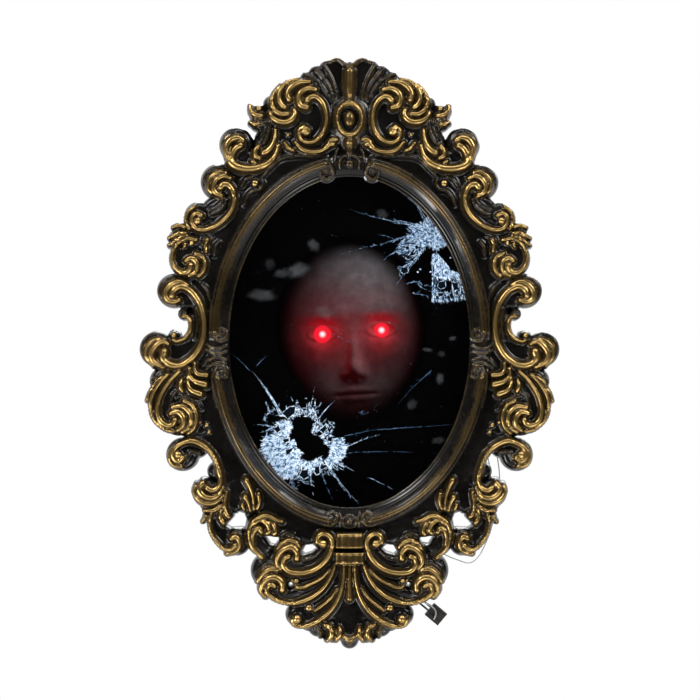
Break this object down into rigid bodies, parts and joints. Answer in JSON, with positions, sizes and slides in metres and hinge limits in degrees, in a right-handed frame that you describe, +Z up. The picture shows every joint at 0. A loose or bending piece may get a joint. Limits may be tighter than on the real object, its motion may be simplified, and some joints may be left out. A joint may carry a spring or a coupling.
{
  "type": "light-up haunted wall mirror",
  "caption": "Ornate oval scroll-framed wall mirror with printed cracks, a face mask with red light eyes behind the smoked pane, and a rear battery housing.",
  "frame": {"origin": "centre of the hanging hole, on the wall's surface", "axes": "+X to the viewer's right, +Z up, the front faces -Y"},
  "size_m": [0.2708, 0.051, 0.3808],
  "materials": {
    "frame_plastic": "black, dry-brushed with antique gold on the raised scrolls",
    "smoked_pane": "smoked one-way sheet with printed cracks",
    "mask_plastic": "grey, painted, lit from the eyes",
    "red_led": "red, emissive",
    "black_plastic": "black, moulded",
    "screw_steel": "zinc plated",
    "board_green": "green solder mask",
    "black_epoxy": "black",
    "ceramic_chip": "tan",
    "capacitor_sleeve": "dark sleeve",
    "switch_metal": "tinned",
    "cell_jacket": "plain jacket",
    "contact_steel": "nickel plated",
    "red_wire": "vinyl",
    "black_wire": "vinyl",
    "black_rubber": "matte",
    "connector_plastic": "matte black",
    "clear_nylon": "clear nylon"
  },
  "bodies": {
    "mirror": {"frame": "frame_plastic", "mirror_pane": "smoked_pane", "face_mask": "mask_plastic", "eye_led_left": "red_led", "eye_led_right": "red_led", "back_housing": "black_plastic", "housing_screws": "screw_steel", "circuit_board": "board_green", "control_chip": "black_epoxy", "resistors": "ceramic_chip", "capacitor": "capacitor_sleeve", "board_screws": "screw_steel", "switch_body": "switch_metal", "battery_door": "black_plastic", "door_screw": "screw_steel", "battery_1": "cell_jacket", "battery_2": "cell_jacket", "battery_3": "cell_jacket", "battery_springs": "contact_steel", "battery_plates": "contact_steel", "led_wires": "red_wire", "battery_wires": "red_wire", "switch_wires": "black_wire", "demo_wires": "black_wire", "lead_grommet": "black_rubber", "lead_wire_a": "black_wire", "lead_wire_b": "black_wire", "demo_connector": "connector_plastic", "tag_loop": "clear_nylon", "tie_thread": "clear_nylon"},
    "slider": {"switch_slider": "black_plastic"}
  },
  "joints": [
    {"name": "switch_slide", "type": "slide", "parent": "mirror", "child": "slider", "axis": [1, 0, 0], "range_m": [0, 0.004]}
  ]
}
